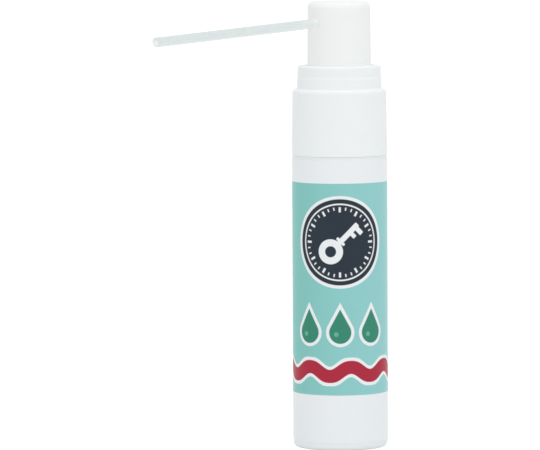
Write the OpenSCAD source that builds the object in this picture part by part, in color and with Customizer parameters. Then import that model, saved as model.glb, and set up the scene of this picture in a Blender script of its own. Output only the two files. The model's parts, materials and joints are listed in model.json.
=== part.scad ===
// Pocket aerosol of dry lock lubricant. A white aluminium can carries a crimped valve, a snap-on
// collar and a spray button that presses and turns on the valve stem. A fine straw in the side of
// the button reaches into the keyhole. Sizes are in millimetres. The origin is the middle of the
// can's foot, +Z is up, and the front of the label faces -Y.

/* [Can] */
// Outside diameter of the bare can
can_d = 17.8; // [16:0.1:22]
// Thickness of the aluminium
can_wall = 0.4; // [0.3:0.05:0.6]
// Height from the table to the step under the collar
body_h = 55.3; // [45:0.1:80]
// Radius of the rounded bottom edge
heel_r = 0.9; // [0.7:0.1:1.5]
// Width of the flat ring that the can stands on
foot_w = 0.8; // [0.5:0.1:1.2]
// Rise of the hollow base
dome_h = 2.6; // [1.5:0.1:3.5]
// Rounding of the step under the collar
step_r = 0.1; // [0.05:0.05:0.6]
// How far the rim under the collar is set in from the body
rim_set = 0.8; // [0.6:0.05:1.2]
// Straight height of that rim
rim_h = 0.9; // [0.6:0.1:2]
// Radius of the shoulder between rim and neck
shoulder_r = 2.5; // [2:0.1:3]
// Straight height of the neck
neck_h = 1; // [0.8:0.1:2]
// How far the bead stands out from the neck
bead_w = 0.9; // [0.6:0.05:1.1]
// Height of the bead
bead_h = 1.5; // [1:0.1:2]

/* [Label] */
// Thickness of the printed film
label_t = 0.1; // [0.05:0.01:0.2]
// Distance from the end of the rounded bottom edge up to the film's lower edge
label_low_gap = 0.6; // [0.2:0.1:8]
// Distance from the film's upper edge to the step under the collar
label_top_gap = 0.6; // [0.6:0.1:10]

/* [Collar] */
// Gap between the can's step and the collar, which shows as the dark seam
seam_gap = 0.02; // [0.02:0.01:0.4]
// How far the collar's foot lies inside the label's face
collar_set = 0; // [0:0.05:0.2]
// Height of the collar up to its shoulder
collar_h = 12.5; // [10:0.1:16]
// How much the collar's radius narrows from foot to shoulder
collar_taper = 0.15; // [0.1:0.05:0.4]
// Rounding of the collar's shoulder
collar_edge_r = 0.7; // [0.5:0.1:1]
// Width of the shelf between the collar's face and the ring's band
shelf_w = 0.9; // [0.6:0.05:1.2]
// Thickness of the collar's top walls
collar_wall = 0.7; // [0.5:0.05:0.9]
// Height of the ring above the shoulder
ring_h = 4.4; // [3.5:0.1:6]
// Height of the ring's wider lower band
band_h = 2.35; // [1:0.05:2.6]
// How far that band stands out from the ring
band_w = 0.1; // [0.1:0.05:0.3]
// Height of the slope at the band's top, which leads in to the ring
band_slope_h = 0.5; // [0.3:0.05:0.8]
// Rounding of the ring's upper edge
ring_edge_r = 0.5; // [0.3:0.1:0.6]
// Width of the ring's inward lip round the button
lip_w = 0.85; // [0.4:0.05:1.2]
// How far the snap bead grips under the ferrule
snap_w = 0.25; // [0.15:0.05:0.35]
// Height of the snap bead
snap_h = 0.5; // [0.3:0.05:0.5]

/* [Spray button] */
// Gap between the button and the ring's lip
button_gap = 0.25; // [0.15:0.05:0.4]
// How much the button's radius grows down to its skirt
button_taper = 0.15; // [0.05:0.05:0.3]
// How far the button stands above the ring at rest
button_rise = 12.1; // [9:0.05:18]
// Rounding of the button's upper edge
button_edge_r = 1.3; // [0.8:0.1:1.6]
// Depth of the finger dish in the button's top
dish_h = 0.45; // [0.2:0.05:0.8]
// Flat width between the dish and the rounded edge
dish_margin = 0.3; // [0.2:0.1:0.8]
// Wall of the button's skirt
button_wall = 1; // [0.8:0.1:1.3]
// Thickness of the button's top above its hollow
button_top_t = 2.4; // [2:0.1:3]
// Wall of the post round the valve stem
hub_wall = 1.2; // [0.8:0.1:1.5]
// Thickness of the ribs between post and skirt
rib_t = 0.8; // [0.6:0.1:1]
// How far the button can be pressed
press_travel = 1.6; // [1:0.1:2]
// Room left under a fully pressed button
stop_gap = 0.2; // [0.1:0.05:0.5]
// How far the valve stem reaches into the button
stem_grip = 3.2; // [2.5:0.1:4]
// Radius of the spray channel inside the button
channel_r = 0.6; // [0.4:0.05:0.8]

/* [Straw] */
// Outside diameter of the straw
straw_d = 1.8; // [1.4:0.05:2.2]
// Bore of the straw
straw_bore_d = 0.9; // [0.6:0.05:1.1]
// Length of the straw
straw_l = 44; // [30:0.5:120]
// How deep the straw is pushed into the button
straw_grip = 4.8; // [3:0.1:4.8]
// Distance from the button's rim plane down to the straw, on the button's axis
straw_drop = 3.75; // [3.2:0.05:6]
// How far the straw points down, in degrees
straw_droop = 3.5; // [0:0.5:8]
// Where the straw points at rest, in degrees from +X
straw_heading = 222; // [0:1:359]

/* [Valve] */
// Thickness of the ferrule's sheet
ferrule_t = 0.35; // [0.25:0.05:0.45]
// Gap from the ferrule's two inner edges to the neck and to the stem
lip_gap = 0.2; // [0.1:0.05:0.4]
// Thickness of the neck gasket
neck_gasket_t = 0.6; // [0.4:0.1:1]
// Thickness of the housing's flange
flange_t = 1.6; // [1.4:0.1:2]
// Thickness of the stem gasket
stem_gasket_t = 0.8; // [0.5:0.1:1]
// Width of the ledge round the spring chamber that the stem gasket lies on
seat_w = 1.1; // [0.8:0.1:1.5]
// Radius of the spring chamber
chamber_r = 2.1; // [1.9:0.05:2.4]
// Depth of the spring chamber below the stem gasket
chamber_h = 9; // [8:0.5:12]
// Wall of the valve housing
housing_wall = 0.8; // [0.6:0.1:1]
// Thickness of the chamber's floor
floor_t = 1; // [0.8:0.1:1.5]
// Radius of the inlet through the housing's tail
inlet_r = 0.6; // [0.4:0.05:0.8]
// Wall of the tail, which the dip tube is pushed over
tail_wall = 0.65; // [0.5:0.05:0.8]
// Length of the tail
tail_h = 4; // [3:0.5:6]
// Radius of the valve stem
stem_r = 1.5; // [1.3:0.05:1.6]
// Bore radius of the valve stem
stem_bore_r = 0.5; // [0.4:0.05:0.7]
// Radius of the stem's two side openings
orifice_r = 0.2; // [0.15:0.05:0.25]
// Gap between the stem's collar and the spring chamber
stem_collar_gap = 0.15; // [0.1:0.05:0.25]
// Thickness of that collar
stem_collar_h = 1; // [0.8:0.1:1.5]
// Radius of the pin that guides the spring
guide_r = 0.9; // [0.7:0.05:1]
// Length of that pin
guide_h = 2; // [1.5:0.1:3]
// Wire diameter of the return spring
wire_d = 0.35; // [0.25:0.05:0.45]
// Gap between the return spring and its guide
coil_gap = 0.35; // [0.2:0.05:0.4]
// Number of the spring's turns
coil_turns = 6; // [4:1:8]
// Wall of the dip tube
tube_wall = 0.5; // [0.3:0.05:0.7]
// Room between the dip tube's end and the hollow base
tube_gap = 1.2; // [0.8:0.1:3]
// Diameter of the steel ball that stirs the powder
ball_d = 4; // [3:0.1:4.5]
// Where the ball lies at rest, in degrees from +X
ball_heading = 60; // [0:1:359]

/* [Fits] */
// Clearance of a running fit
run_gap = 0.02; // [0.01:0.01:0.05]
// Clearance between pieces that are slipped together
slip_gap = 0.05; // [0.03:0.01:0.1]

/* [Hidden] */
$fn = 96;
// Straight steps in one rounded stretch of an outline
arc_steps = 10;
// How far every cut runs past the surface that it cuts
overrun = 1;
// Rings in one turn of the spring, and sides of its wire
coil_rings = 12;
wire_sides = 6;
// Ribs inside the button, on the three sides that the straw's boss leaves free
rib_count = 3;
rib_step = 90;
// Share of the room between ferrule and skirt that the collar's grip sleeve fills
sleeve_share = 0.6;
// Share of the spray channel's radius that the cross hole behind the straw has
jet_share = 0.7;

// Can
can_r = can_d / 2;
foot_out_r = can_r - heel_r;
foot_in_r = foot_out_r - foot_w;
dome_r = (foot_in_r ^ 2 + dome_h ^ 2) / (2 * dome_h);
dome_z = dome_h - dome_r;
floor_angle = asin((can_wall - dome_z) / (dome_r + can_wall));
rim_r = can_r - rim_set;
rim_z = body_h + rim_h;
neck_r = rim_r - shoulder_r;
neck_in_r = neck_r - can_wall;
shoulder_z = rim_z + shoulder_r;
bead_r = neck_r + bead_w;
bead_z = shoulder_z + neck_h;
mouth_z = bead_z + bead_h;

// Label
label_r = can_r + label_t;
label_low = heel_r + label_low_gap;
label_high = body_h - label_top_gap;

// Valve stack, from the can's mouth up to the ferrule and down to the dip tube
flange_z = mouth_z + neck_gasket_t;
flange_top_z = flange_z + flange_t;
seat_z = flange_top_z - stem_gasket_t;
ferrule_in_r = bead_r + slip_gap;
ferrule_r = ferrule_in_r + ferrule_t;
ferrule_top_z = flange_top_z + ferrule_t;
crimp_z = bead_z - ferrule_t;
crimp_r = neck_r + lip_gap;
stem_hole_r = stem_r + lip_gap;
gasket_r = chamber_r + seat_w;
housing_r = chamber_r + housing_wall;
chamber_z = seat_z - chamber_h;
floor_z = chamber_z - floor_t;
tail_z = floor_z - tail_h;
tail_r = inlet_r + tail_wall;
tube_in_r = tail_r + run_gap;
tube_r = tube_in_r + tube_wall;
tube_z = dome_h + can_wall + tube_gap;
orifice_z = seat_z + stem_gasket_t / 2;
stem_bore_z = orifice_z - orifice_r;
stem_collar_r = chamber_r - stem_collar_gap;
stem_shelf_z = seat_z - stem_collar_h;
guide_z = stem_shelf_z - guide_h;

// Spring, one slip gap clear of the shelf above and the floor below
wire_r = wire_d / 2;
coil_r = guide_r + coil_gap + wire_r;
coil_z = chamber_z + wire_r + slip_gap;
coil_h = stem_shelf_z - chamber_z - wire_d - 2 * slip_gap;

// Collar
collar_z = body_h + seam_gap;
collar_top_z = collar_z + collar_h;
collar_r = label_r - collar_set;
collar_top_r = collar_r - collar_taper;
skirt_r = rim_r + slip_gap;
skirt_top_r = skirt_r - collar_taper;
collar_round_r = min(collar_edge_r, shelf_w);
band_r = collar_top_r - shelf_w;
ring_r = band_r - band_w;
ring_in_r = ring_r - collar_wall;
hole_r = ring_in_r - lip_w;
bore_z = ferrule_top_z + slip_gap;
grip_r = ferrule_r + slip_gap;
sleeve_in_r = max(grip_r, ring_in_r);
sleeve_r = sleeve_in_r + sleeve_share * (skirt_top_r - sleeve_in_r);
snap_r = grip_r - snap_w;
snap_z = crimp_z - slip_gap;
sleeve_z = snap_z - snap_h;
ceiling_z = collar_top_z - collar_round_r - collar_wall;
band_z = collar_top_z + band_h;
ring_top_z = collar_top_z + ring_h;

// Button and straw
button_low_r = hole_r - button_gap;
button_r = button_low_r - button_taper;
button_z = ferrule_top_z + press_travel + stop_gap;
button_top_z = ring_top_z + button_rise;
hollow_top_z = button_top_z - button_top_t;
stem_top_z = button_z + stem_grip;
hub_r = stem_r + hub_wall;
dish_r = button_r - button_edge_r - dish_margin;
dish_ball_r = (dish_r ^ 2 + dish_h ^ 2) / (2 * dish_h);
dish_angle = asin(dish_r / dish_ball_r);
straw_r = straw_d / 2;
straw_z = button_top_z - straw_drop;
straw_seat = button_r - straw_grip;
boss_r = straw_r + button_wall;

// Ball, lying between the hollow base and the wall
ball_r = ball_d / 2;
ball_out = can_r - can_wall - ball_r - slip_gap;
ball_z = dome_z + sqrt((dome_r + can_wall + ball_r + slip_gap) ^ 2 - ball_out ^ 2);

// Points of an arc about (cx, cz), from one angle to another
function arc(cx, cz, r, from, to) = [
    for (i = [0:arc_steps])
        let (a = from + (to - from) * i / arc_steps)
            [cx + r * cos(a), cz + r * sin(a)]
];

// Point on the spring's middle line after a number of turns
function coil_point(turn) = [
    coil_r * cos(360 * turn),
    coil_r * sin(360 * turn),
    coil_z + coil_h * turn / coil_turns,
];

// Ring of points round the wire there: one axis of the ring points away from the spring's middle,
// the other stands square to that and to the wire
function wire_ring(turn) =
    let (slope = atan2(coil_h / coil_turns, 2 * PI * coil_r), a = 360 * turn)
        [
            for (side = [0:wire_sides - 1])
                let (b = 360 * side / wire_sides)
                    coil_point(turn)
                    + wire_r * cos(b) * [cos(a), sin(a), 0]
                    + wire_r * sin(b) * [sin(slope) * sin(a), -sin(slope) * cos(a), cos(slope)]
        ];

// Straight pipe standing on a height
module pipe(outer, inner, low, high) {
    translate([0, 0, low])
        difference() {
            cylinder(h = high - low, r = outer);
            translate([0, 0, -overrun])
                cylinder(h = high - low + 2 * overrun, r = inner);
        }
}

// Places its children on the straw's axis, with their own +Z pointing out along the straw
module along_straw() {
    translate([0, 0, straw_z])
        rotate([0, 90 + straw_droop, straw_heading])
            children();
}

// Drawn aluminium can with a hollow base, a set-in rim, a rounded shoulder and a beaded mouth
module can() {
    color("white")
        rotate_extrude()
            polygon(concat(
                arc(0, dome_z, dome_r, 90, acos(foot_in_r / dome_r)),
                arc(foot_out_r, heel_r, heel_r, -90, 0),
                arc(can_r - step_r, body_h - step_r, step_r, 0, 90),
                [[rim_r, body_h]],
                arc(neck_r, rim_z, shoulder_r, 0, 90),
                [[neck_r, bead_z], [bead_r, bead_z], [bead_r, mouth_z], [neck_in_r, mouth_z]],
                [[neck_in_r, shoulder_z - can_wall]],
                arc(neck_r, rim_z, shoulder_r - can_wall, 90, 0),
                [[rim_r - can_wall, body_h - can_wall], [can_r - can_wall, body_h - can_wall]],
                arc(foot_out_r, heel_r, heel_r - can_wall, 0, -90),
                arc(0, dome_z, dome_r + can_wall, floor_angle, 90)
            ));
}

// Printed film wrapped round the straight part of the can
module label_sleeve() {
    color("mediumaquamarine")
        pipe(label_r, can_r, label_low, label_high);
}

// Collar: an outer skirt over the can's rim, a stepped ring round the button, and inside
// a grip sleeve whose bead snaps under the ferrule
module collar() {
    color("white")
        rotate_extrude()
            polygon(concat(
                [[collar_r, collar_z]],
                arc(collar_top_r - collar_round_r, collar_top_z - collar_round_r, collar_round_r, 0, 90),
                [[band_r, collar_top_z], [band_r, band_z - band_slope_h], [ring_r, band_z]],
                arc(ring_r - ring_edge_r, ring_top_z - ring_edge_r, ring_edge_r, 0, 90),
                [[hole_r, ring_top_z], [hole_r, ring_top_z - collar_wall]],
                [[ring_in_r, ring_top_z - collar_wall], [ring_in_r, bore_z], [grip_r, bore_z]],
                [[grip_r, snap_z], [snap_r, snap_z], [grip_r, sleeve_z], [sleeve_r, sleeve_z]],
                [[sleeve_r, ceiling_z], [skirt_top_r, ceiling_z], [skirt_r, collar_z]]
            ));
}

// Outside of the button, with a rounded upper edge and a shallow finger dish
module button_block() {
    rotate_extrude()
        polygon(concat(
            [[0, button_z], [button_low_r, button_z]],
            arc(button_r - button_edge_r, button_top_z - button_edge_r, button_edge_r, 0, 90),
            arc(0, button_top_z - dish_h + dish_ball_r, dish_ball_r, dish_angle - 90, -90)
        ));
}

// Post, straw boss and ribs inside the button's hollow
module button_core() {
    translate([0, 0, button_z])
        cylinder(h = button_top_z - button_z, r = hub_r);
    along_straw()
        cylinder(h = button_low_r, r = boss_r);
    for (i = [1:rib_count])
        rotate(straw_heading + rib_step * i)
            translate([0, -rib_t / 2, stem_top_z])
                cube([button_low_r, rib_t, button_top_z - stem_top_z]);
}

// Spray button: a hollow cap with a socket for the stem, a channel and a socket for the straw
module spray_button() {
    color("white")
        difference() {
            button_block();
            difference() {
                translate([0, 0, button_z - overrun])
                    cylinder(
                        h = hollow_top_z - button_z + overrun,
                        r1 = button_low_r - button_wall,
                        r2 = button_r - button_wall
                    );
                button_core();
            }
            translate([0, 0, button_z - overrun])
                cylinder(h = stem_grip + overrun, r = stem_r + run_gap);
            translate([0, 0, button_z])
                cylinder(h = straw_z - button_z, r = channel_r);
            along_straw()
                cylinder(h = straw_seat + overrun, r = channel_r * jet_share);
            along_straw()
                translate([0, 0, straw_seat])
                    cylinder(h = straw_grip + overrun, r = straw_r + run_gap);
        }
}

// Fine clear straw, cut square at both ends
module straw() {
    color("lightcyan")
        along_straw()
            pipe(straw_r, straw_bore_d / 2, straw_seat, straw_seat + straw_l);
}

// Aluminium ferrule, crimped under the can's bead
module ferrule() {
    edge_r = ferrule_t + slip_gap;
    color("silver")
        rotate_extrude()
            polygon(concat(
                [[stem_hole_r, ferrule_top_z - ferrule_t]],
                [[ferrule_in_r, ferrule_top_z - ferrule_t], [ferrule_in_r, bead_z]],
                [[crimp_r, bead_z], [crimp_r, crimp_z], [ferrule_r, crimp_z]],
                arc(ferrule_r - edge_r, ferrule_top_z - edge_r, edge_r, 0, 90),
                [[stem_hole_r, ferrule_top_z]]
            ));
}

// Rubber ring between the can's mouth and the valve housing
module neck_gasket() {
    color("dimgray")
        pipe(bead_r, neck_in_r, mouth_z, flange_z);
}

// Rubber ring that closes the stem's side openings
module stem_gasket() {
    color("dimgray")
        pipe(gasket_r - run_gap, stem_r + run_gap, seat_z, flange_top_z);
}

// Valve housing: clamped flange, seat of the stem gasket, spring chamber and tail
module valve_housing() {
    color("ivory")
        rotate_extrude()
            polygon([
                [inlet_r, tail_z], [tail_r, tail_z], [tail_r, floor_z], [housing_r, floor_z],
                [housing_r, flange_z], [bead_r, flange_z], [bead_r, flange_top_z],
                [gasket_r, flange_top_z], [gasket_r, seat_z], [chamber_r, seat_z],
                [chamber_r, chamber_z], [inlet_r, chamber_z],
            ]);
}

// Valve stem: bored tube with two side openings, a collar under the gasket and a spring guide
module valve_stem() {
    color("ivory")
        difference() {
            rotate_extrude()
                polygon([
                    [0, guide_z], [guide_r, guide_z], [guide_r, stem_shelf_z],
                    [stem_collar_r, stem_shelf_z], [stem_collar_r, seat_z], [stem_r, seat_z],
                    [stem_r, stem_top_z], [stem_bore_r, stem_top_z], [stem_bore_r, stem_bore_z],
                    [0, stem_bore_z],
                ]);
            translate([-stem_r - overrun, 0, orifice_z])
                rotate([0, 90, 0])
                    cylinder(h = 2 * (stem_r + overrun), r = orifice_r);
        }
}

// Return spring, one wire swept along a helix
module return_spring() {
    last = round(coil_turns * coil_rings);
    points = [for (i = [0:last]) each wire_ring(i / coil_rings)];
    sides = [
        for (i = [0:last - 1], s = [0:wire_sides - 1])
            let (
                next = (s + 1) % wire_sides,
                a = i * wire_sides + s,
                b = i * wire_sides + next,
                c = a + wire_sides,
                d = b + wire_sides
            )
                each [[a, b, d], [a, d, c]]
    ];
    start_cap = [for (s = [1:wire_sides - 2]) [0, s + 1, s]];
    end_cap = [for (s = [1:wire_sides - 2]) [0, s, s + 1] + last * wire_sides * [1, 1, 1]];
    color("gray")
        polyhedron(points, [for (f = concat(sides, start_cap, end_cap)) [f[0], f[2], f[1]]]);
}

// Dip tube, pushed over the housing's tail, with a rounded notch across its lower end
module dip_tube() {
    color("whitesmoke")
        difference() {
            pipe(tube_r, tube_in_r, tube_z, floor_z);
            translate([-tube_r - overrun, 0, tube_z])
                rotate([0, 90, 0])
                    cylinder(h = 2 * (tube_r + overrun), r = tube_in_r);
        }
}

// Steel ball, loose in the can
module agitator_ball() {
    color("silver")
        rotate(ball_heading)
            translate([ball_out, 0, ball_z])
                sphere(r = ball_r);
}

can();
label_sleeve();
collar();
spray_button();
straw();
ferrule();
neck_gasket();
stem_gasket();
valve_housing();
valve_stem();
return_spring();
dip_tube();
agitator_ball();
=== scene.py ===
# %% [markdown]
# # A pocket aerosol of dry lock lubricant
#
# A slim white can carries a printed film, a stepped collar, a push button and a fine straw that reaches
# into locks. The construction comes ready made, as a frame of named parts at their real size. This lesson
# gives those parts their finished surfaces and materials, and sets them in plain studio light.
#
# Lengths are millimetres. A mesh is scaled to metres when it is made, and its object stays at the origin,
# so every piece lies where the frame says.

# %% Load the frame
import json
import math

import bmesh
import bpy
import numpy as np
from mathutils import Matrix, Vector


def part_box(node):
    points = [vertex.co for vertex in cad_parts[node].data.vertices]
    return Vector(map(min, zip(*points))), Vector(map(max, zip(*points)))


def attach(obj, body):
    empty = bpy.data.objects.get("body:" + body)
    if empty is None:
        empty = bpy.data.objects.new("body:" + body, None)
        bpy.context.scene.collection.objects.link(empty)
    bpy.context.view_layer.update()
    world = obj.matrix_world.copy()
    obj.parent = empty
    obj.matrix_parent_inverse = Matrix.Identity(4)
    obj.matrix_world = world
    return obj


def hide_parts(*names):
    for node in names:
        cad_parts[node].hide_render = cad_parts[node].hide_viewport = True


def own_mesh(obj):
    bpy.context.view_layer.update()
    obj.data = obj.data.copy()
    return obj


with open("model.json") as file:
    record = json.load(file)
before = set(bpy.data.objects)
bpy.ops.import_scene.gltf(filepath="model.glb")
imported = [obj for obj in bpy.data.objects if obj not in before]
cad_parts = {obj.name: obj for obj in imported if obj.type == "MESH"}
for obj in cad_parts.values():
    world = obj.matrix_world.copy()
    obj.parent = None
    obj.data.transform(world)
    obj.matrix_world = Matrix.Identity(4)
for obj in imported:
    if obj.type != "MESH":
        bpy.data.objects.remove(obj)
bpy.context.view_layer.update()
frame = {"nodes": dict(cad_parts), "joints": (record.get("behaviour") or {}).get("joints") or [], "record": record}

MM = 0.001

# %% [markdown]
# ## The camera
#
# The camera comes first, because it decides what will be seen. A small product is photographed from far
# away with a long lens, which keeps its sides upright. The place and the turns were worked out from the
# ellipses of the can's rims: low, a little above the button, looking slightly down. The can stands to the
# right of the middle, so the camera turns to the left instead of shifting its lens.

# %% Set up the camera
CAMERA_PLACE = (0, -900, 112.7)
LOOK_DOWN = math.radians(4.49)
TURN_LEFT = math.radians(0.84)
ROLL = math.radians(-0.305)
FOCAL_LENGTH = 318.4
SENSOR_WIDTH = 36

lens = bpy.data.cameras.new("camera")
lens.lens = FOCAL_LENGTH
lens.sensor_width = SENSOR_WIDTH
camera = bpy.data.objects.new("camera", lens)
bpy.context.collection.objects.link(camera)
camera.location = Vector(CAMERA_PLACE) * MM
aim = Matrix.Rotation(TURN_LEFT, 3, "Z") @ Matrix.Rotation(math.pi / 2 - LOOK_DOWN, 3, "X")
camera.rotation_euler = (aim @ Matrix.Rotation(ROLL, 3, "Z")).to_euler()
bpy.context.scene.camera = camera
bpy.context.scene.view_settings.view_transform = "Standard"
print("camera", CAMERA_PLACE, "with a lens of", FOCAL_LENGTH)

# %% [markdown]
# ## Sizes from the frame
#
# The box round each part of the frame gives most radii and heights, and the record's mounts give the ring
# and the straw. Measuring them keeps this file true to the construction: if a size changes there, the
# surfaces follow. Only what a box can't show, such as a wall or a fillet, is written down below, beside the
# piece that has it.

# %% Measure the parts
def corners_of(node):
    """Lowest and highest corner of one part of the frame, in millimetres."""
    return np.array(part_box(node)) / MM


can_high = corners_of("can")[1]
film_low, film_high = corners_of("label_sleeve")
collar_low, collar_high = corners_of("collar")
button_low, button_high = corners_of("spray_button")
ferrule_low, ferrule_high = corners_of("ferrule")
stem_high = corners_of("valve_stem")[1]
mounts = {mount["name"]: mount for mount in frame["record"]["mounts"]}
joints = {joint["name"]: joint for joint in frame["joints"]}
print("can", can_high, "film", film_high, "collar", collar_high, "button", button_high)

# %% [markdown]
# ## Outlines with rounded corners
#
# The can is drawn, the collar and the button are moulded and the straw is extruded, and all of them are
# round. Such a piece is one outline carried round an axis. An outline could be a hand-drawn curve under a
# Screw modifier. Here it is a short list of corners, each with its fillet, because every radius is then a
# named size. No real edge is knife sharp, and it is the fillets that catch the light.

# %% Round off an outline
FILLET_ROWS = 9
SUPPORT_SHARE = 0.3
SUPPORT_MOST = 0.04


def fillet(before, corner, after, radius):
    """Rows round one corner. Unit vectors a and b leave it along its sides, at an angle of 2h.
    The middle of the arc lies on their bisector at radius / sin h, and the arc's two feet lie at
    radius / tan h along the sides. With w = pi - 2h, the angle turned, the arc's points are the
    feet weighted by sin((1 - t) w) / sin w and sin(t w) / sin w, for t from 0 to 1.
    A support row just past each foot keeps the straight walls flat in smooth shading. It stays close
    to the foot, so that the rows of two neighbouring corners never cross."""
    a = (before - corner) / np.linalg.norm(before - corner)
    b = (after - corner) / np.linalg.norm(after - corner)
    half = math.acos(a @ b) / 2
    middle = corner + (a + b) / np.linalg.norm(a + b) * radius / math.sin(half)
    reach = radius / math.tan(half)
    turn = math.pi - 2 * half
    t = np.linspace(0, 1, FILLET_ROWS)[:, None]
    from_first = np.sin((1 - t) * turn) * (corner + a * reach - middle)
    to_last = np.sin(t * turn) * (corner + b * reach - middle)
    arc = middle + (from_first + to_last) / math.sin(turn)
    support = reach + min(SUPPORT_SHARE * reach, SUPPORT_MOST)
    return np.vstack([corner + a * support, arc, corner + b * support])


def outline(corners, closed=False):
    """Rows of radius and height through corners of (radius, height, fillet).
    A corner without a fillet, and both ends of an open outline, stay as they are."""
    corners = np.array(corners, float)
    places = corners[:, :2]
    rows = []
    for i, radius in enumerate(corners[:, 2]):
        at_end = not closed and i in (0, len(corners) - 1)
        if at_end or radius == 0:
            rows.append(places[i:i + 1])
        else:
            rows.append(fillet(places[i - 1], places[i], places[(i + 1) % len(places)], radius))
    return np.vstack(rows)


print("a right angle with a fillet of 1 has", len(outline([(2, 0, 0), (2, 2, 1), (0, 2, 0)])), "rows")

# %% [markdown]
# ## From an outline to a mesh
#
# Turning an outline gives a grid of points: one row for each point of the outline, one column for each
# angle. The faces between them follow from the grid alone, so the same function skins a can, a straw and a
# wound spring. Columns run anticlockwise and an outline runs up its outside, and then every face points
# outwards. The printed volume proves it, since it would be negative the other way round.

# %% Turn an outline and skin a grid
COLUMNS = 192
SHARP_EDGE = math.radians(40)


def turned(rows, angles):
    """Radius r and height z at the angle a give the point (r cos a, r sin a, z)."""
    r, z = rows[:, :1], rows[:, 1:]
    return np.stack([r * np.cos(angles), r * np.sin(angles), z + 0 * angles], axis=-1)


def full_turn(columns):
    """Even angles round the axis."""
    return np.linspace(0, 2 * math.pi, columns, endpoint=False)


def soften(piece):
    """Shades a piece smooth, apart from its sharp edges."""
    piece.data.shade_smooth()
    piece.data.set_sharp_from_angle(angle=SHARP_EDGE)
    return piece


def skin(name, points, closed=False):
    """Mesh over rows and columns of points. Columns always close into rings.
    Rows close into a loop, or else a fan round its middle point fills the first and the last ring."""
    rows, columns = points.shape[:2]
    grid = np.arange(rows * columns).reshape(rows, columns)
    ring = np.hstack([grid, grid[:, :1]])
    lower, upper = (ring, np.roll(ring, -1, axis=0)) if closed else (ring[:-1], ring[1:])
    quads = np.stack([lower[:, :-1], lower[:, 1:], upper[:, 1:], upper[:, :-1]], axis=-1)
    faces = quads.reshape(-1, 4).tolist()
    places = points.reshape(-1, 3)
    if not closed:
        places = np.vstack([places, points[0].mean(axis=0), points[-1].mean(axis=0)])
        first_pole = np.full(columns, grid.size)
        faces += np.stack([first_pole, ring[0, 1:], ring[0, :-1]], axis=-1).tolist()
        faces += np.stack([ring[-1, :-1], ring[-1, 1:], first_pole + 1], axis=-1).tolist()
    mesh = bpy.data.meshes.new(name)
    mesh.from_pydata((places * MM).tolist(), [], faces)
    piece = bpy.data.objects.new(name, mesh)
    bpy.context.collection.objects.link(piece)
    return soften(piece)


def describe(piece):
    """Prints a piece's triangles and volume, which is the sum of a . (b x c) / 6 over them."""
    mesh = piece.data
    mesh.calc_loop_triangles()
    corners = np.empty(3 * len(mesh.loop_triangles), np.int32)
    mesh.loop_triangles.foreach_get("vertices", corners)
    places = np.empty(3 * len(mesh.vertices), np.float32)
    mesh.vertices.foreach_get("co", places)
    a, b, c = (places.reshape(-1, 3)[corners].reshape(-1, 3, 3) / MM).transpose(1, 0, 2)
    volume = (a * np.cross(b, c)).sum() / 6
    print(f"{piece.name}: {len(a)} triangles, {volume:.1f} cubic mm")


print("columns in a full turn:", COLUMNS)

# %% [markdown]
# ## Writing shaders as sums
#
# A procedural material is a formula of the place on the surface. Wiring Math nodes by hand hides the
# formula, so one small class wraps an output socket, and the ordinary operators add the nodes. Any other
# node comes from its one method. Colours are given as the eye reads them, from 0 to 255, and turned into
# linear light.

# %% A class for sockets
class Wire:
    """One output socket. Arithmetic on wires and numbers adds Math nodes to their tree."""

    def __init__(self, tree, socket=None):
        self.tree = tree
        self.socket = socket

    def node(self, kind, settings, inputs, output):
        """Adds a node, applies its settings, fills or links its inputs, and gives the named output,
        or a list of wires for a list of names. Sockets go by their identifiers."""
        made = self.tree.nodes.new("ShaderNode" + kind)
        for name, value in settings.items():
            setattr(made, name, value)
        sockets = {socket.identifier: socket for socket in made.inputs}
        for name, value in inputs.items():
            if isinstance(value, Wire):
                self.tree.links.new(value.socket, sockets[name])
            else:
                sockets[name].default_value = value
        outputs = {socket.identifier: socket for socket in made.outputs}
        if isinstance(output, list):
            return [Wire(self.tree, outputs[name]) for name in output]
        return Wire(self.tree, outputs.get(output))

    def math(self, operation, first, second=0.0):
        """Adds a Math node for one or two values."""
        return self.node("Math", {"operation": operation}, {"Value": first, "Value_001": second}, "Value")

    def __add__(self, other):
        return self.math("ADD", self, other)

    def __sub__(self, other):
        return self.math("SUBTRACT", self, other)

    def __rsub__(self, other):
        return self.math("SUBTRACT", other, self)

    def __mul__(self, other):
        return self.math("MULTIPLY", self, other)

    def __truediv__(self, other):
        return self.math("DIVIDE", self, other)

    def __pow__(self, other):
        return self.math("POWER", self, other)

    def __lt__(self, other):
        return self.math("LESS_THAN", self, other)

    def __gt__(self, other):
        return self.math("GREATER_THAN", self, other)

    def __neg__(self):
        return self.math("MULTIPLY", self, -1.0)

    def __abs__(self):
        return self.math("ABSOLUTE", self)

    __radd__ = __add__
    __rmul__ = __mul__


def largest(first, second):
    """The larger of two values."""
    return first.math("MAXIMUM", first, second)


def smallest(first, second):
    """The smaller of two values."""
    return first.math("MINIMUM", first, second)


print("reflected operators:", [name for name in vars(Wire) if name.startswith("__r")])

# %% Helpers for finishes
NOISE_SPAN = (0.3, 0.7)


def tint(red, green, blue):
    """Linear colour of an 8-bit one: c / 12.92 when dark, else ((c + 0.055) / 1.055) to the power 2.4."""
    c = np.array([red, green, blue]) / 255
    linear = np.where(c <= 0.04045, c / 12.92, ((c + 0.055) / 1.055) ** 2.4)
    return (*linear.tolist(), 1.0)


def new_finish(name):
    """Empty material, a wire to start from, and the place on the piece in millimetres."""
    finish = bpy.data.materials.new(name)
    finish.use_nodes = True
    finish.node_tree.nodes.clear()
    start = Wire(finish.node_tree)
    metres = start.node("TexCoord", {}, {}, "Object")
    place = start.node("VectorMath", {"operation": "SCALE"}, {"Vector": metres, "Scale": 1 / MM}, "Vector")
    return finish, start, place


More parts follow.
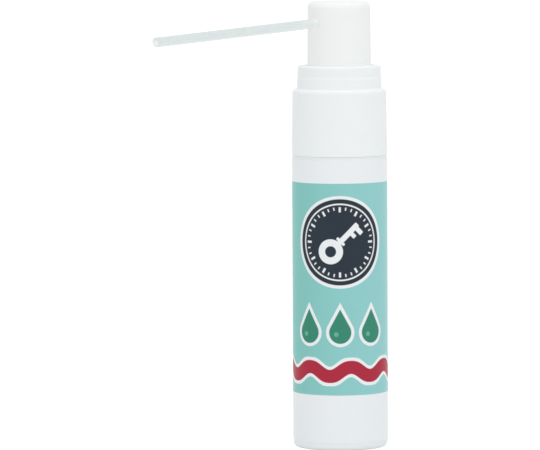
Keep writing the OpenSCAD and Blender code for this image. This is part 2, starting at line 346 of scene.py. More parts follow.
def axes(place):
    """The three coordinates of a place."""
    return place.node("SeparateXYZ", {}, {"Vector": place}, ["X", "Y", "Z"])


def cloud(place, per_mm, detail=2.0):
    """Soft random values round 0.5, mostly within NOISE_SPAN, with so many patches to the millimetre."""
    inputs = {"Vector": place, "Scale": per_mm, "Detail": detail}
    return place.node("TexNoise", {}, inputs, "Fac")


def ramp(value, low, high, from_low=0.0, from_high=1.0):
    """A value between two limits, brought to a new range and held there."""
    inputs = {"Value": value, "From Min": from_low, "From Max": from_high, "To Min": low, "To Max": high}
    return value.node("MapRange", {}, inputs, "Result")


def blend(mask, without, with_mask):
    """A colour where the mask is 0 and another where it is 1."""
    inputs = {"Factor_Float": mask, "A_Color": without, "B_Color": with_mask}
    return mask.node("Mix", {"data_type": "RGBA"}, inputs, "Result_Color")


def relief(height, depth):
    """Surface that rises by so many millimetres where the height is 1."""
    return height.node("Bump", {}, {"Height": height, "Distance": depth * MM, "Strength": 1.0}, "Normal")


def coat_with(start, sockets):
    """Puts a Principled shader with those sockets on the material's output."""
    shader = start.node("BsdfPrincipled", {}, sockets, "BSDF")
    start.node("OutputMaterial", {}, {"Surface": shader}, None)


def fit(piece, body, slot, finish, *nodes):
    """Gives a piece its finish, and puts it on its body in place of parts of the frame."""
    piece.data.materials.append(finish)
    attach(piece, body)
    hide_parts(*nodes)
    describe(piece)


print("mid grey in linear light:", np.round(tint(128, 128, 128), 3))

# %% [markdown]
# ## The can
#
# The can is drawn from one disc of aluminium, so its wall is the same all over: a hollow base, a rounded
# heel, a straight body, a small step where the collar sits, then shoulder, neck and bead. It could be a
# cylinder with a Solidify modifier, but then the bead and the hollow base would be missing, and the mesh is
# kept as a part in its own right. So one outline runs from the middle of the base, up the outside and back
# down the inside.

# %% Draw the can
SEAM_GAP = 0.02
WALL = 0.4
FOOT_IN_R = 7.2
BASE_RISE = 2.6
HEEL_R = 0.9
SEAM_EDGE = 0.05
RIM_SET = 0.8
RIM_H = 0.9
SHOULDER_R = 2.5
NECK_H = 1.0
BEAD_W = 0.9
DOME_ROWS = 8
POLE_SHARE = 0.04
SOFT_EDGE = 0.12


def cap_rows(rim_r, rise, rim_z, from_share, to_share):
    """Rows of a shallow cap of a sphere with the radius R = (rim^2 + rise^2) / (2 rise): over the rim's
    plane the radius r has the height rise - R + sqrt(R^2 - r^2), for shares of the rim's radius.
    A negative rise turns the cap over and makes a dish."""
    height = abs(rise)
    ball_r = (rim_r ** 2 + height ** 2) / (2 * height)
    r = rim_r * np.linspace(from_share, to_share, DOME_ROWS)
    z = np.sign(rise) * (height - ball_r + np.sqrt(ball_r ** 2 - r ** 2))
    return np.stack([r, rim_z + z], axis=-1)


can_r = can_high[0]
mouth_z = can_high[2]
step_z = collar_low[2] - SEAM_GAP
rim_r = can_r - RIM_SET
shoulder_z = step_z + RIM_H + SHOULDER_R
neck_r = rim_r - SHOULDER_R
bead_z = shoulder_z + NECK_H
bead_r = neck_r + BEAD_W
inside_r = can_r - WALL
neck_in_r = neck_r - WALL
shoulder_fillet = SHOULDER_R - 2 * SOFT_EDGE
base_below = cap_rows(FOOT_IN_R, BASE_RISE, 0, POLE_SHARE, 1 - POLE_SHARE)
base_above = cap_rows(FOOT_IN_R, BASE_RISE, WALL, 1, POLE_SHARE)
can_rows = np.vstack([
    base_below[:-1],
    outline([
        (*base_below[-1], 0), (FOOT_IN_R, 0, SOFT_EDGE), (can_r, 0, HEEL_R), (can_r, step_z, SEAM_EDGE),
        (rim_r, step_z, SOFT_EDGE), (rim_r, shoulder_z, shoulder_fillet), (neck_r, shoulder_z, SOFT_EDGE),
        (neck_r, bead_z, SOFT_EDGE), (bead_r, bead_z, 2 * SOFT_EDGE), (bead_r, mouth_z, 2 * SOFT_EDGE),
        (neck_in_r, mouth_z, SOFT_EDGE / 2), (neck_in_r, shoulder_z - WALL, SOFT_EDGE),
        (rim_r - WALL, shoulder_z - WALL, shoulder_fillet - WALL), (rim_r - WALL, step_z - WALL, SOFT_EDGE),
        (inside_r, step_z - WALL, SOFT_EDGE), (inside_r, WALL, HEEL_R - WALL), (*base_above[0], 0),
    ]),
    base_above[1:],
])
can_shell = skin("can_shell", turned(can_rows, full_turn(COLUMNS)))
print("can outline:", len(can_rows), "rows, neck radius", neck_r, "and bead radius", bead_r)

# %% [markdown]
# ## White lacquer
#
# The can is lacquered white before it is filled. Lacquer is smooth but not a mirror: it keeps a faint
# orange peel, and it rubs away where the foot ring slides over shelves, so bare metal shows there in
# patches. A mask of height and noise mixes metal into the paint, and the same mask drives Metallic, so that
# the two stay together.

# %% Lacquer the can
LACQUER, LACQUER_SHADE = tint(239, 243, 245), tint(234, 239, 241)
LACQUER_ROUGH = (0.3, 0.38)
WHITE_SPECULAR = 0.08
PATCHES_PER_MM = 0.5
PEEL_PER_MM, PEEL_DEPTH = 2.5, 0.004
BARE_METAL, METAL_ROUGH = tint(205, 207, 209), 0.42
WORN_H = 0.16
RUBS_PER_MM, RUB_DETAIL = 1.8, 4.0

can_lacquer, start, place = new_finish("can_lacquer")
z = axes(place)[2]
patches = cloud(place, PATCHES_PER_MM)
rubs = (cloud(place, RUBS_PER_MM, RUB_DETAIL) - 0.5) * WORN_H * 2
worn = ramp(z + rubs, 1, 0, WORN_H / 2, WORN_H)
coat_with(start, {
    "Base Color": blend(worn, blend(patches, LACQUER, LACQUER_SHADE), BARE_METAL),
    "Metallic": worn,
    "Roughness": ramp(patches, *LACQUER_ROUGH) * (1 - worn) + worn * METAL_ROUGH,
    "Specular IOR Level": WHITE_SPECULAR,
    "Normal": relief(cloud(place, PEEL_PER_MM), PEEL_DEPTH),
})
fit(can_shell, "can", "can_lacquer", can_lacquer, "can")

# %% [markdown]
# ## The printed film
#
# The print is on a thin plastic film that is wrapped round the can and lapped at the back. A plain cylinder
# would hide that it is a separate piece, so the film has its thickness and its lap: there its radius climbs
# over the end underneath and drops at its own edge. Columns crowd together at the lap, so its edge stays
# crisp.

# %% Wrap the film
FILM_EDGE = 0.03
LAP_W = 3.0
LAP_T = 0.06
LAP_COLUMNS = 40
LAP_STEP_W = 0.12

film_r = film_high[0]
film_foot, film_top = film_low[2], film_high[2]
lap_turn = LAP_W / film_r
lap_middle = math.pi / 2
lap_angles = np.linspace(lap_middle - lap_turn, lap_middle + lap_turn, LAP_COLUMNS)
open_angles = np.linspace(lap_angles[-1], lap_angles[0] + 2 * math.pi, COLUMNS + 2)[1:-1]
film_angles = np.concatenate([lap_angles, open_angles])
film_rows = outline([
    (film_r, film_foot, FILM_EDGE), (film_r, film_top, FILM_EDGE),
    (can_r, film_top, FILM_EDGE), (can_r, film_foot, FILM_EDGE),
], closed=True)
from_lap = (film_angles - lap_middle) * film_r
climb = np.clip((from_lap + LAP_W / 2) / LAP_W, 0, 1)
drop = np.clip((LAP_W / 2 - from_lap) / LAP_STEP_W, 0, 1)
lift = LAP_T * climb * drop
film_points = turned(film_rows, film_angles)
film_points[..., 0] += lift * np.cos(film_angles)
film_points[..., 1] += lift * np.sin(film_angles)
film_wrap = skin("label_film", film_points, closed=True)
print("film from", film_foot, "to", film_top, "at radius", film_r, "with a lap of", LAP_W)

# %% [markdown]
# ## The print: shapes as distances
#
# The print is ink, so it belongs in the material and not in the mesh. A picture wrapped round the film
# would do, but formulas stay sharp however close the camera comes. The film is rolled flat with u, the way
# round it from the front, and z, the height. Each printed shape is a formula for the distance to its edge,
# negative inside. Such distances combine well: the smaller of two joins shapes, the larger keeps what they
# share, and taking a little from one widens it, which gives the white line round it.

# %% Distances to simple shapes
INK_EDGE = 0.06


def disc(u, v, radius):
    """Distance to a circle: the length of (u, v) less the radius."""
    return (u * u + v * v) ** 0.5 - radius


def tile(u, v, half_w, half_h, corner):
    """Distance to a rectangle with round corners: outside its inner rectangle the length of the two
    overhangs, inside the larger overhang, less the corner's radius."""
    over_u = abs(u) - (half_w - corner)
    over_v = abs(v) - (half_h - corner)
    outside = disc(largest(over_u, 0.0), largest(over_v, 0.0), corner)
    return outside + smallest(largest(over_u, over_v), 0.0)


def droplet(u, v, radius, tip):
    """Distance to a drop: a circle with two tangents up to a tip. The tangents stand at the angle
    w with sin w = radius / tip, and they take over above the line from the middle to their feet."""
    sine = radius / tip
    cosine = math.sqrt(1 - sine * sine)
    tangent = abs(u) * cosine + (v - tip) * sine
    above = v * cosine - abs(u) * sine > 0.0
    round_part = disc(u, v, radius)
    return round_part + above * (tangent - round_part)


def ink(distance):
    """Cover of the ink: 1 inside a shape, 0 outside, over the width of a printed edge."""
    return ramp(distance, 1, 0, -INK_EDGE, INK_EDGE)


print("printed edges are", 2 * INK_EDGE, "mm wide")

# %% [markdown]
# ## The print: motifs
# A broad teal band lies on white. On its front a dark roundel, drawn like a dial with a fine ring and
# strokes, holds a white key, three green drops stand for the lubricant, and a red wave runs right round the
# can. A white line frames each motif. At the back a pale panel has plain rules, and a column of drops fills
# the other side. The inks go on one over the other, from the ground up, as a press lays them. The teal is
# painted lighter to the right, where the key lamp falls, and darker to the left: painted light and shade.
# All sizes are millimetres on the film. The inks go on one over the other, from the ground up, as a press lays
# them, and the teal
# is a little thinner to the right, as print often is. All sizes are millimetres on the film.

# %% Draw a key and the strokes of a dial
KEY_LEAN = math.radians(45)
BOW_P, BOW_R, BOW_HOLE_R = -2.5, 2.35, 1.05
KEY_STEM_END, KEY_STEM_HALF_W = 4.8, 0.5
KEY_COLLAR_P, KEY_COLLAR_HALF = 0.2, (0.28, 1.0)
BIT_CORNER_SHARE = 1 / 3
# Place along the key, half width and length of each bit
KEY_BITS = [(4.1, 0.45, 1.9), (2.7, 0.4, 1.4)]


def join(first, *others):
    """Distance to shapes taken together."""
    for other in others:
        first = smallest(first, other)
    return first


def key(u, v):
    """Distance to a key that leans to the right: a bow with a hole, a collar, a stem and its bits."""
    p = u * math.cos(KEY_LEAN) + v * math.sin(KEY_LEAN)
    q = v * math.cos(KEY_LEAN) - u * math.sin(KEY_LEAN)
    bow = largest(disc(p - BOW_P, q, BOW_R), -disc(p - BOW_P, q, BOW_HOLE_R))
    stem_half = (KEY_STEM_END - BOW_P - BOW_R) / 2 + KEY_STEM_HALF_W
    stem = tile(p - (KEY_STEM_END - stem_half), q, stem_half, KEY_STEM_HALF_W, KEY_STEM_HALF_W / 2)
    collar = tile(p - KEY_COLLAR_P, q, *KEY_COLLAR_HALF, KEY_COLLAR_HALF[0])
    bits = [
        tile(p - bit_p, q + bit_l / 2, half_w, bit_l / 2, half_w * BIT_CORNER_SHARE)
        for bit_p, half_w, bit_l in KEY_BITS
    ]
    return join(bow, stem, collar, *bits)


def strokes(u, v, count, inner_r, outer_r, half_w):
    """Distance to strokes set evenly round a circle: across, the arc from the nearest stroke's middle,
    and along, the overhang past the stroke's ends, whichever is larger."""
    from_middle = disc(u, v, 0.0)
    turns = u.math("ARCTAN2", u, v) * (count / (2 * math.pi))
    to_nearest = abs(u.math("FRACT", turns + 0.5) - 0.5) * (2 * math.pi / count)
    along = abs(from_middle - (inner_r + outer_r) / 2) - (outer_r - inner_r) / 2
    return largest(to_nearest * from_middle - half_w, along)


print("key from", BOW_P - BOW_R, "to", KEY_STEM_END, "with", len(KEY_BITS), "bits")

# %% Set out the front
TEAL_LOW, TEAL_HIGH = 10.55, 50.4
ROUNDEL_Z, ROUNDEL_R = 39.4, 8.1
DIAL_RING_R, DIAL_RING_HALF = 7.15, 0.14
# Count, inner and outer radius and half width of the fine and of the bold strokes
DIAL_STROKES = [(36, 6.05, 6.6, 0.12), (12, 5.65, 6.6, 0.2)]
WAVE_Z, WAVE_RISE, WAVE_HALF, WAVE_COUNT = 15.0, 0.85, 1.25, 7

label_film, start, place = new_finish("label_film")
x, y, z = axes(place)
u = start.math("ARCTAN2", x, -y) * film_r
teal_band = abs(z - (TEAL_LOW + TEAL_HIGH) / 2) - (TEAL_HIGH - TEAL_LOW) / 2
from_roundel = z - ROUNDEL_Z
roundel = disc(u, from_roundel, ROUNDEL_R)
dial = join(
    abs(disc(u, from_roundel, DIAL_RING_R)) - DIAL_RING_HALF,
    *[strokes(u, from_roundel, *stroke) for stroke in DIAL_STROKES],
)
wave_turn = WAVE_COUNT / film_r
wave_mid = start.math("SINE", u * wave_turn) * WAVE_RISE + WAVE_Z
wave_slope = start.math("COSINE", u * wave_turn) * (WAVE_RISE * wave_turn)
wave = abs(z - wave_mid) / (1 + wave_slope * wave_slope) ** 0.5 - WAVE_HALF
print("band from", TEAL_LOW, "to", TEAL_HIGH, "with", WAVE_COUNT, "waves round the can")

# %% Set out the drops and the panel
DROP_R, DROP_TIP = 2.1, 4.4
DROP_Z, DROP_STEP = 22.4, 6.3
SIDE_DROP_U, SIDE_DROP_STEP = 18.0, 8.5
GLINT_PLACE, GLINT_R = (-0.75, -0.35), 0.45
PANEL_U, PANEL_Z = -19.0, 32.5
PANEL_HALF, PANEL_CORNER = (5.6, 13.5), 1.2
RULE_HALF_H, RULE_STEP = 0.28, 2.6
RULE_SHARES = [0.55, 0.8, 0.8, 0.7, 0.8, 0.45, 0.8, 0.75, 0.6]

drop_places = [(i * DROP_STEP, DROP_Z) for i in (-1, 0, 1)]
drop_places += [(SIDE_DROP_U, PANEL_Z + i * SIDE_DROP_STEP) for i in (-1, 0, 1)]
drops = join(*[droplet(u - at_u, z - at_z, DROP_R, DROP_TIP) for at_u, at_z in drop_places])
glints = join(*[
    disc(u - (at_u + GLINT_PLACE[0]), z - (at_z + GLINT_PLACE[1]), GLINT_R) for at_u, at_z in drop_places
])
panel = tile(u - PANEL_U, z - PANEL_Z, *PANEL_HALF, PANEL_CORNER)
rule_top = PANEL_Z + RULE_STEP * (len(RULE_SHARES) - 1) / 2
longest = max(RULE_SHARES)
rules = join(*[
    tile(u - (PANEL_U + (share - longest) * PANEL_HALF[0]), z - (rule_top - i * RULE_STEP),
         share * PANEL_HALF[0], RULE_HALF_H, RULE_HALF_H / 2)
    for i, share in enumerate(RULE_SHARES)
])
print(len(drop_places), "drops and", len(RULE_SHARES), "rules")

# %% Lay on the inks
WHITE_INK = tint(238, 242, 244)
# Teal in painted shade on the left and in painted light on the right
TEAL_SHADED_LEFT, TEAL_LIT_RIGHT = tint(134, 200, 194), tint(151, 209, 209)
SLATE = tint(45, 55, 65)
GREEN, LEAF = tint(59, 138, 114), tint(104, 176, 151)
RED = tint(176, 45, 66)
RULE_GREY = tint(120, 140, 142)
LINE_W = 0.6

# Painted light and shade: the teal is lighter on the right, where the key lamp falls, and darker on the left
teal = blend(ramp(x, 0, 1, -film_r, film_r), TEAL_SHADED_LEFT, TEAL_LIT_RIGHT)
colour = blend(ink(teal_band), WHITE_INK, teal)
colour = blend(ink(join(roundel, drops, wave) - LINE_W), colour, WHITE_INK)
colour = blend(ink(panel), colour, WHITE_INK)
on_dial = join(dial, key(u, from_roundel))
inked = [
    (roundel, SLATE), (on_dial, WHITE_INK), (drops, GREEN), (glints, LEAF), (wave, RED), (rules, RULE_GREY),
]
for distance, shade in inked:
    colour = blend(ink(distance), colour, shade)
print("print has", len(label_film.node_tree.nodes), "nodes so far")

# %% [markdown]
# ## The print: the film's surface
#
# Printed film is glossier than moulded plastic, but it follows every unevenness of the can and of the glue
# under it. A long soft swell in the relief bends the reflections a little, which tells the eye that this is
# film. The swell is far too shallow to model, so it stays in the material.

# %% Finish the film
SWELL_PER_MM, SWELL_DEPTH = 0.12, 0.02
FILM_ROUGH, FILM_PATCHES_PER_MM = (0.28, 0.36), 0.8
FILM_SPECULAR = 0.12

coat_with(start, {
    "Base Color": colour,
    "Roughness": ramp(cloud(place, FILM_PATCHES_PER_MM), *FILM_ROUGH),
    "Specular IOR Level": FILM_SPECULAR,
    "Normal": relief(cloud(place, SWELL_PER_MM), SWELL_DEPTH),
})
fit(film_wrap, "can", "label_film", label_film, "label_sleeve")

# %% [markdown]
# ## The collar
#
# The collar is one moulding: a skirt over the can's rim, a shoulder with a narrow shelf, a low band that
# slopes into the ring that guides the button, and inside it a sleeve whose bead snaps under the ferrule. A
# stack of cylinders would show the steps but not the soft corners between them. One closed outline gives
# the whole section, inside and out.

# %% Mould the collar
COLLAR_H = 12.5
COLLAR_TAPER = 0.15
SHOULDER_EDGE_R = 0.7
SHELF_W = 0.9
BAND_W = 0.1
BAND_SLOPE_H = 0.5
BAND_BLEND_R = 1.0
RING_EDGE_R = 0.5
COLLAR_WALL = 0.7
LIP_W = 0.85
SLIP_GAP = 0.05
SNAP_W = 0.25
SNAP_H = 0.5
SLEEVE_SHARE = 0.6
MOULD_EDGE = 0.08

collar_r = collar_high[0]
collar_foot, ring_top = collar_low[2], collar_high[2]
collar_top = collar_foot + COLLAR_H
collar_top_r = collar_r - COLLAR_TAPER
band_r = collar_top_r - SHELF_W
ring_r = band_r - BAND_W
band_top = ring_top - mounts["overcap_ring"]["dims"]["length_mm"]
ring_in_r = ring_r - COLLAR_WALL
hole_r = ring_in_r - LIP_W
skirt_r = rim_r + SLIP_GAP
skirt_top_r = skirt_r - COLLAR_TAPER
grip_r = ferrule_high[0] + SLIP_GAP
grip_top = ferrule_high[2] + SLIP_GAP
snap_z = ferrule_low[2] - SLIP_GAP
sleeve_z = snap_z - SNAP_H
sleeve_in_r = max(grip_r, ring_in_r)
sleeve_r = sleeve_in_r + SLEEVE_SHARE * (skirt_top_r - sleeve_in_r)
ceiling_z = collar_top - SHOULDER_EDGE_R - COLLAR_WALL
collar_rows = outline([
    (collar_r, collar_foot, SEAM_EDGE), (collar_top_r, collar_top, SHOULDER_EDGE_R),
    (band_r, collar_top, MOULD_EDGE), (band_r, band_top - BAND_SLOPE_H, BAND_BLEND_R),
    (ring_r, band_top, BAND_BLEND_R), (ring_r, ring_top, RING_EDGE_R), (hole_r, ring_top, MOULD_EDGE),
    (hole_r, ring_top - COLLAR_WALL, MOULD_EDGE), (ring_in_r, ring_top - COLLAR_WALL, MOULD_EDGE),
    (ring_in_r, grip_top, 0), (grip_r, grip_top, 0), (grip_r, snap_z, 0), (grip_r - SNAP_W, snap_z, 0),
    (grip_r, sleeve_z, 0), (sleeve_r, sleeve_z, MOULD_EDGE), (sleeve_r, ceiling_z, MOULD_EDGE),
    (skirt_top_r, ceiling_z, MOULD_EDGE), (skirt_r, collar_foot, MOULD_EDGE),
], closed=True)
collar_shell = skin("collar_shell", turned(collar_rows, full_turn(COLUMNS)), closed=True)
print("collar: radius", collar_r, "ring", ring_r, "hole", hole_r, "from", collar_foot, "to", ring_top)

# %% [markdown]
# ## White mouldings
#
# Collar and button are moulded from white polypropylene. The tool leaves a satin skin: an even, very fine
# grain, and slow changes of gloss where the melt cooled unevenly. Both mouldings share one recipe and
# differ in their white and their gloss. A single flat white would look like paper, so the grain goes into
# the relief and the slow changes into colour and roughness.

# %% Finish the mouldings
GRAIN_PER_MM, GRAIN_DEPTH = 14, 0.0015
FLOW_PER_MM = 0.25
COLLAR_WHITES = (tint(243, 246, 247), tint(240, 244, 245))
COLLAR_ROUGH = (0.36, 0.44)


def moulded_white(name, whites, rough, glow_at=None):
    """Satin white plastic that drifts between two whites and two roughnesses.
    A function of the place can add painted light, a glow that lightens the shade there."""
    finish, start, place = new_finish(name)
    flow = cloud(place, FLOW_PER_MM)
    painted_glow = {"Emission Color": glow_at(place), "Emission Strength": 1.0} if glow_at else {}
    coat_with(start, painted_glow | {
        "Base Color": blend(flow, *whites),
        "Roughness": ramp(flow, *rough, *NOISE_SPAN),
        "Specular IOR Level": WHITE_SPECULAR,
        "Normal": relief(cloud(place, GRAIN_PER_MM), GRAIN_DEPTH),
    })
    return finish


collar_plastic = moulded_white("collar_plastic", COLLAR_WHITES, COLLAR_ROUGH)
fit(collar_shell, "can", "collar_plastic", collar_plastic, "collar")

# %% [markdown]
# ## The spray button
#
# The button is a hollow cap with a shallow dish for the finger. A post for the valve stem hangs under its
# top. Its outline, from the spray channel inside to the middle of the dish, is turned like the others. The
# straight wall gets many rows, because a pit is pressed into it next.

# %% Turn the button
BUTTON_TAPER = 0.15
BUTTON_EDGE_R = 1.3
DISH_H = 0.45
DISH_MARGIN = 0.3
BUTTON_WALL = 1.0
BUTTON_TOP_T = 2.4
STEM_R = 1.5
HUB_WALL = 1.2
CHANNEL_R = 0.6
RUN_GAP = 0.02
POLE_R = 0.04
WALL_ROWS = 90

button_low_r = button_high[0]
button_r = button_low_r - BUTTON_TAPER
button_foot, button_top = button_low[2], button_high[2]
stem_top = stem_high[2]
hollow_top = button_top - BUTTON_TOP_T
hub_r = STEM_R + HUB_WALL
socket_r = STEM_R + RUN_GAP
dish_r = button_r - BUTTON_EDGE_R - DISH_MARGIN
straw_way = np.array(mounts["straw_tip"]["axis"])
straw_tip = np.array(mounts["straw_tip"]["pos_m"]) / MM
straw_cross = straw_tip - straw_way * (straw_tip[0] / straw_way[0])
straw_z = straw_cross[2]
inside_rows = outline([
    (POLE_R, straw_z, 0), (CHANNEL_R, straw_z, 0), (CHANNEL_R, stem_top, 0), (socket_r, stem_top, 0),
    (socket_r, button_foot, MOULD_EDGE), (hub_r, button_foot, MOULD_EDGE),
    (hub_r, hollow_top, 2 * MOULD_EDGE), (button_r - BUTTON_WALL, hollow_top, 2 * MOULD_EDGE),
    (button_low_r - BUTTON_WALL, button_foot, 2 * MOULD_EDGE), (button_low_r, button_foot, 2 * MOULD_EDGE),
    (button_r, button_top - BUTTON_EDGE_R, 0),
])[:-1]
top_rows = outline([
    (button_low_r, button_foot, 0), (button_r, button_top, BUTTON_EDGE_R), (dish_r, button_top, 0),
])[1:]
wall_rows = np.linspace(inside_rows[-1], top_rows[0], WALL_ROWS)[1:-1]
dish_rows = cap_rows(dish_r, -DISH_H, button_top, 1, POLE_SHARE)
button_points = turned(np.vstack([inside_rows, wall_rows, top_rows, dish_rows[1:]]), full_turn(COLUMNS))
print("button radius", button_r, "hub", hub_r, "straw crosses the axis at", round(straw_z, 2))

# %% [markdown]
# ## The mark of the gate
#
# The melt enters the mould through a small gate, and where the button is broken off it a shallow pit stays
# on the wall. Bump would do from the front, but not at the outline, so the pit is in the mesh: a dent of
# the form exp(-(d / w)^2), where d is the distance from the gate.

# %% Press in the pit
GATE_ANGLE = math.radians(187)
GATE_Z = 76.5
GATE_W = 0.35
GATE_DEPTH = 0.14

on_wall = slice(len(inside_rows), len(inside_rows) + len(wall_rows))
round_gate = (full_turn(COLUMNS) - GATE_ANGLE) * button_r
from_gate = np.hypot(round_gate, wall_rows[:, 1:] - GATE_Z)
pit = GATE_DEPTH * np.exp(-((from_gate / GATE_W) ** 2))
button_points[on_wall, :, 0] -= pit * np.cos(full_turn(COLUMNS))
button_points[on_wall, :, 1] -= pit * np.sin(full_turn(COLUMNS))
button_shell = skin("button_shell", button_points)
print("deepest point of the pit:", round(pit.max(), 3))

# %% [markdown]
# ## Boss, ribs and socket
#
# Inside the button a boss holds the straw, and three ribs stiffen the cap. They aren't round about the
# button's axis, so they are made apart and joined with Boolean modifiers, which are applied at once. Then a
# turned tool cuts the straw's socket and the jet behind it. Cuts leave slivers where they pass close to a
# vertex, so these are dissolved at the end.

# %% Join the boss and the ribs
RIB_T = 0.8
RIB_ROOT_SHARE = 0.8
RIB_STEP = math.radians(90)
TOOL_COLUMNS = 64

straw_r = mounts["straw_tip"]["dims"]["r_mm"]
straw_heading = math.atan2(straw_way[1], straw_way[0])
side_way = np.cross((0, 0, 1), straw_way)
side_way /= np.linalg.norm(side_way)
rise_way = np.cross(straw_way, side_way)


def along_straw(points):
    """Lays points on the straw's axis: x goes sideways, y upwards and z outwards along the straw."""
    return straw_cross + points @ np.stack([side_way, rise_way, straw_way])


def apply_boolean(piece, operation, tool):
    """Joins or cuts a piece with a tool, keeps the result as its mesh and removes the tool."""
    change = piece.modifiers.new(operation, "BOOLEAN")
    change.operation = operation
    change.solver = "EXACT"
    change.object = tool
    made = piece.evaluated_get(bpy.context.evaluated_depsgraph_get())
    mesh = bpy.data.meshes.new_from_object(made)
    piece.modifiers.clear()
    piece.data = mesh
    bpy.data.objects.remove(tool)
    soften(piece)


boss_r = straw_r + BUTTON_WALL
boss_from, boss_to = hub_r / 2, button_r - BUTTON_WALL / 2
boss_rows = np.array([(POLE_R, boss_from), (boss_r, boss_from), (boss_r, boss_to), (POLE_R, boss_to)])
boss = skin("boss", along_straw(turned(boss_rows, full_turn(TOOL_COLUMNS))))
apply_boolean(button_shell, "UNION", boss)
for steps in (1, 2, 3):
    heading = straw_heading + steps * RIB_STEP
    out = np.array([math.cos(heading), math.sin(heading), 0])
    aside = np.array([-math.sin(heading), math.cos(heading), 0]) * RIB_T / 2
    near, far = out * hub_r * RIB_ROOT_SHARE, out * (button_r - BUTTON_WALL / 2)
    plan = np.array([near - aside, far - aside, far + aside, near + aside])
    rib = skin("rib", np.stack([plan + (0, 0, stem_top), plan + (0, 0, hollow_top + BUTTON_WALL)]))
    apply_boolean(button_shell, "UNION", rib)
print("boss from", boss_from, "to", round(boss_to, 2), "with radius", boss_r)

# %% Cut the straw's socket
STRAW_GRIP = 4.8
JET_SHARE = 0.7
MOUTH_BEVEL = 0.08
OVERRUN = 1.0
WELD = 0.0005

straw_seat = button_r - STRAW_GRIP
bore_r = straw_r + RUN_GAP
mouth = button_r + OVERRUN
jet_r, jet_from = CHANNEL_R * JET_SHARE, CHANNEL_R / 2
cutter_rows = np.array([
    (POLE_R, jet_from), (jet_r, jet_from), (jet_r, straw_seat), (bore_r, straw_seat),
    (bore_r, button_r - MOUTH_BEVEL), (bore_r + MOUTH_BEVEL + OVERRUN, mouth), (POLE_R, mouth),
])
cutter = skin("cutter", along_straw(turned(cutter_rows, full_turn(TOOL_COLUMNS))))
apply_boolean(button_shell, "DIFFERENCE", cutter)
welded = bmesh.new()
welded.from_mesh(button_shell.data)
bmesh.ops.dissolve_degenerate(welded, dist=WELD * MM, edges=welded.edges)
open_edges = sum(not edge.is_manifold for edge in welded.edges)
welded.to_mesh(button_shell.data)
welded.free()
print("straw socket from", round(straw_seat, 2), "to the wall at", round(button_r, 2))
print("open edges of the button:", open_edges)

# %% [markdown]
# ## Painted light in the socket and at the foot
#
# White polypropylene lets some light through, so the straw's socket, and the button's foot in the ring, are
# pale on the real thing, where an opaque button would be dark. Scattering under the whole surface could
# show that, but it greys every edge and costs time. So the button has the collar's recipe, and a faint glow
# in these two places is painted light: it lightens the shade in the socket and where the foot meets the
# ring, in place of the light that seeps through. A place belongs to the socket if it is near enough to the
# straw's axis, and to the foot if it is low enough.

# %% Finish the button
# Painted light: a glow in the straw's socket and at the button's foot, where there would be shade
PAINTED_SOCKET_LIGHT, SOCKET_LIGHT_FADE = 0.17, 0.15
PAINTED_FOOT_LIGHT, FOOT_LIGHT_H = 0.105, 0.55
DARK, FULL_LIGHT = (0.0, 0.0, 0.0, 1.0), (1.0, 1.0, 1.0, 1.0)
BUTTON_WHITES = (tint(245, 247, 246), tint(242, 245, 244))
BUTTON_ROUGH = (0.42, 0.52)


def by_straw(place):
    """How far out along the straw's axis a place lies, and how far from the axis. For an axis through c
    along the unit vector w they are (p - c) . w and the length of (p - c) x w."""
    to_axis = {"Vector": place, "Vector_001": straw_cross}
    arm = place.node("VectorMath", {"operation": "SUBTRACT"}, to_axis, "Vector")
    with_way = {"Vector": arm, "Vector_001": straw_way}
    outwards = place.node("VectorMath", {"operation": "DOT_PRODUCT"}, with_way, "Value")
    across = place.node("VectorMath", {"operation": "CROSS_PRODUCT"}, with_way, "Vector")
    return outwards, place.node("VectorMath", {"operation": "LENGTH"}, {"Vector": across}, "Value")


def painted_light_in_shade(place):
    """Painted grey light on the wall of the socket, fading out towards its mouth, and on the foot, fading out
    over the ring: a glow that lightens the shade in both places."""
    outwards, away = by_straw(place)
    # Painted light that lightens the shade in the socket and at the foot
    near_axis = (away < bore_r + RUN_GAP) * (outwards > 0.0)
    in_socket = near_axis * ramp(outwards, PAINTED_SOCKET_LIGHT, 0, button_r - MOUTH_BEVEL - SOCKET_LIGHT_FADE, button_r)
    in_ring = ramp(axes(place)[2], PAINTED_FOOT_LIGHT, 0, ring_top, ring_top + FOOT_LIGHT_H)
    return blend(largest(in_socket, in_ring), DARK, FULL_LIGHT)


button_plastic = moulded_white("button_plastic", BUTTON_WHITES, BUTTON_ROUGH, painted_light_in_shade)
fit(button_shell, "button", "button_plastic", button_plastic, "spray_button")
print("button finished with", len(button_plastic.node_tree.nodes), "nodes")

# %% [markdown]
# ## The straw
#
# The straw is extruded from clear polythene and cut square with a blade. It could be a curve with a bevel,
# but the bore shows at its open end, so it is a closed outline turned round the straw's own axis, with the
# cut edges slightly broken. Its length is the distance between the ends of its box, along its axis.

# %% Cut the straw
BORE_R = 0.45
CUT_EDGE = 0.1
STRAW_COLUMNS = 64

straw_low, straw_high = corners_of("straw")
box_margin = straw_r * math.sqrt(1 - straw_way[0] ** 2)
straw_l = (straw_high[0] - straw_low[0] - 2 * box_margin) / abs(straw_way[0])
straw_end = straw_seat + straw_l
straw_rows = outline([
    (straw_r, straw_seat, CUT_EDGE), (straw_r, straw_end, CUT_EDGE),
    (BORE_R, straw_end, CUT_EDGE), (BORE_R, straw_seat, CUT_EDGE),
], closed=True)
straw_tube = skin("straw_tube", along_straw(turned(straw_rows, full_turn(STRAW_COLUMNS))), closed=True)
print("straw of", round(straw_l, 2), "mm from", round(straw_seat, 2), "to", round(straw_end, 2))
